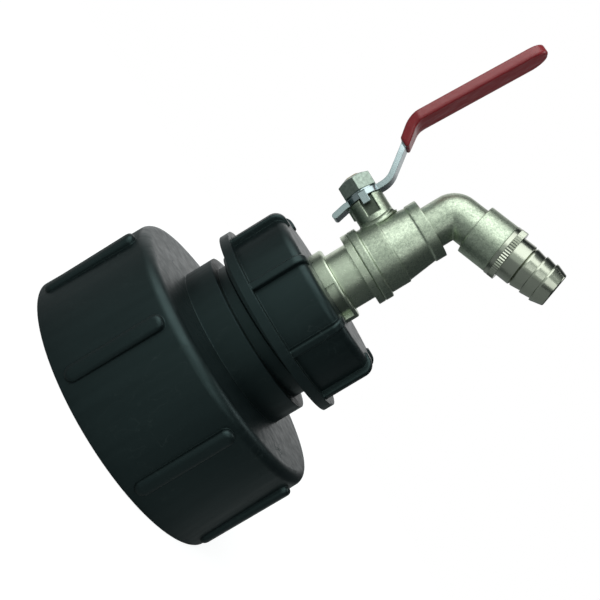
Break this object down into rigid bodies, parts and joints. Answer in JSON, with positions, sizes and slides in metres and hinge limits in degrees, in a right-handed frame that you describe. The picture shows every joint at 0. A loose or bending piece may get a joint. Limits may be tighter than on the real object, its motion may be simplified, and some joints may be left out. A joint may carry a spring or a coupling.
{
  "type": "tank tap adapter",
  "caption": "Tank adapter with a ball tap: a ribbed reducing cap with coarse threads, a finned coupling nut, an angled spout with a barbed hose tail and a quarter-turn lever.",
  "frame": {"origin": "centre of the reducer's open rim, on the plane it stands on", "axes": "+Z along the valve's axis from the tank to the tap, +X the way the spout leans, -X the way the stem points"},
  "size_m": [0.1144, 0.1144, 0.1998],
  "materials": {
    "black_plastic": "moulded satin",
    "black_rubber": "matt",
    "nickel_plated_brass": "cast, nickel plated",
    "polished_nickel": "turned, nickel plated",
    "chromed_ball": "polished",
    "bare_brass": "turned",
    "ptfe": "smooth",
    "zinc_plated_steel": "bright zinc",
    "red_vinyl": "dipped gloss"
  },
  "bodies": {
    "reducer": {"reducer": "black_plastic", "cap_gasket": "black_rubber"},
    "coupling_gasket": {"nut_gasket": "black_rubber"},
    "tap": {"coupling_nut": "black_plastic", "inlet_connector": "nickel_plated_brass", "connector_o_ring": "black_rubber", "valve_body": "nickel_plated_brass", "inlet_seat": "ptfe", "outlet_seat": "ptfe", "thrust_washer": "ptfe"},
    "lever_and_ball": {"lever": "zinc_plated_steel", "lever_grip": "red_vinyl", "lever_washer": "zinc_plated_steel", "lever_nut": "zinc_plated_steel", "stem": "bare_brass", "stem_o_ring_lower": "black_rubber", "stem_o_ring_upper": "black_rubber", "ball": "chromed_ball"},
    "tail_washer": {"hose_tail_washer": "black_rubber"},
    "hose_tail": {"hose_tail": "polished_nickel"}
  },
  "joints": [
    {"name": "coupling_rise", "type": "slide", "parent": "reducer", "child": "coupling_gasket", "axis": [0, 0, 1], "range_m": [0, 0.018]},
    {"name": "coupling_turn", "type": "hinge", "parent": "coupling_gasket", "child": "tap", "pos_m": [0, 0, 0.083], "axis": [0, 0, 1], "range_deg": [0, 1080]},
    {"name": "lever_turn", "type": "hinge", "parent": "tap", "child": "lever_and_ball", "pos_m": [-0.022, 0, 0.1158], "axis": [1, 0, 0], "range_deg": [0, 90]},
    {"name": "tail_slide", "type": "slide", "parent": "tap", "child": "tail_washer", "axis": [0.9426, 0, 0.3338], "range_m": [0, 0.00802]},
    {"name": "tail_turn", "type": "hinge", "parent": "tail_washer", "child": "hose_tail", "pos_m": [0.01885, 0, 0.14758], "axis": [0.9426, 0, 0.3338], "range_deg": [0, 2160]}
  ],
  "couplings": [
    {"joint": "coupling_rise", "follows": "coupling_turn", "m_per_rad": 0.00095493},
    {"joint": "tail_slide", "follows": "tail_turn", "m_per_rad": 0.00021279}
  ]
}
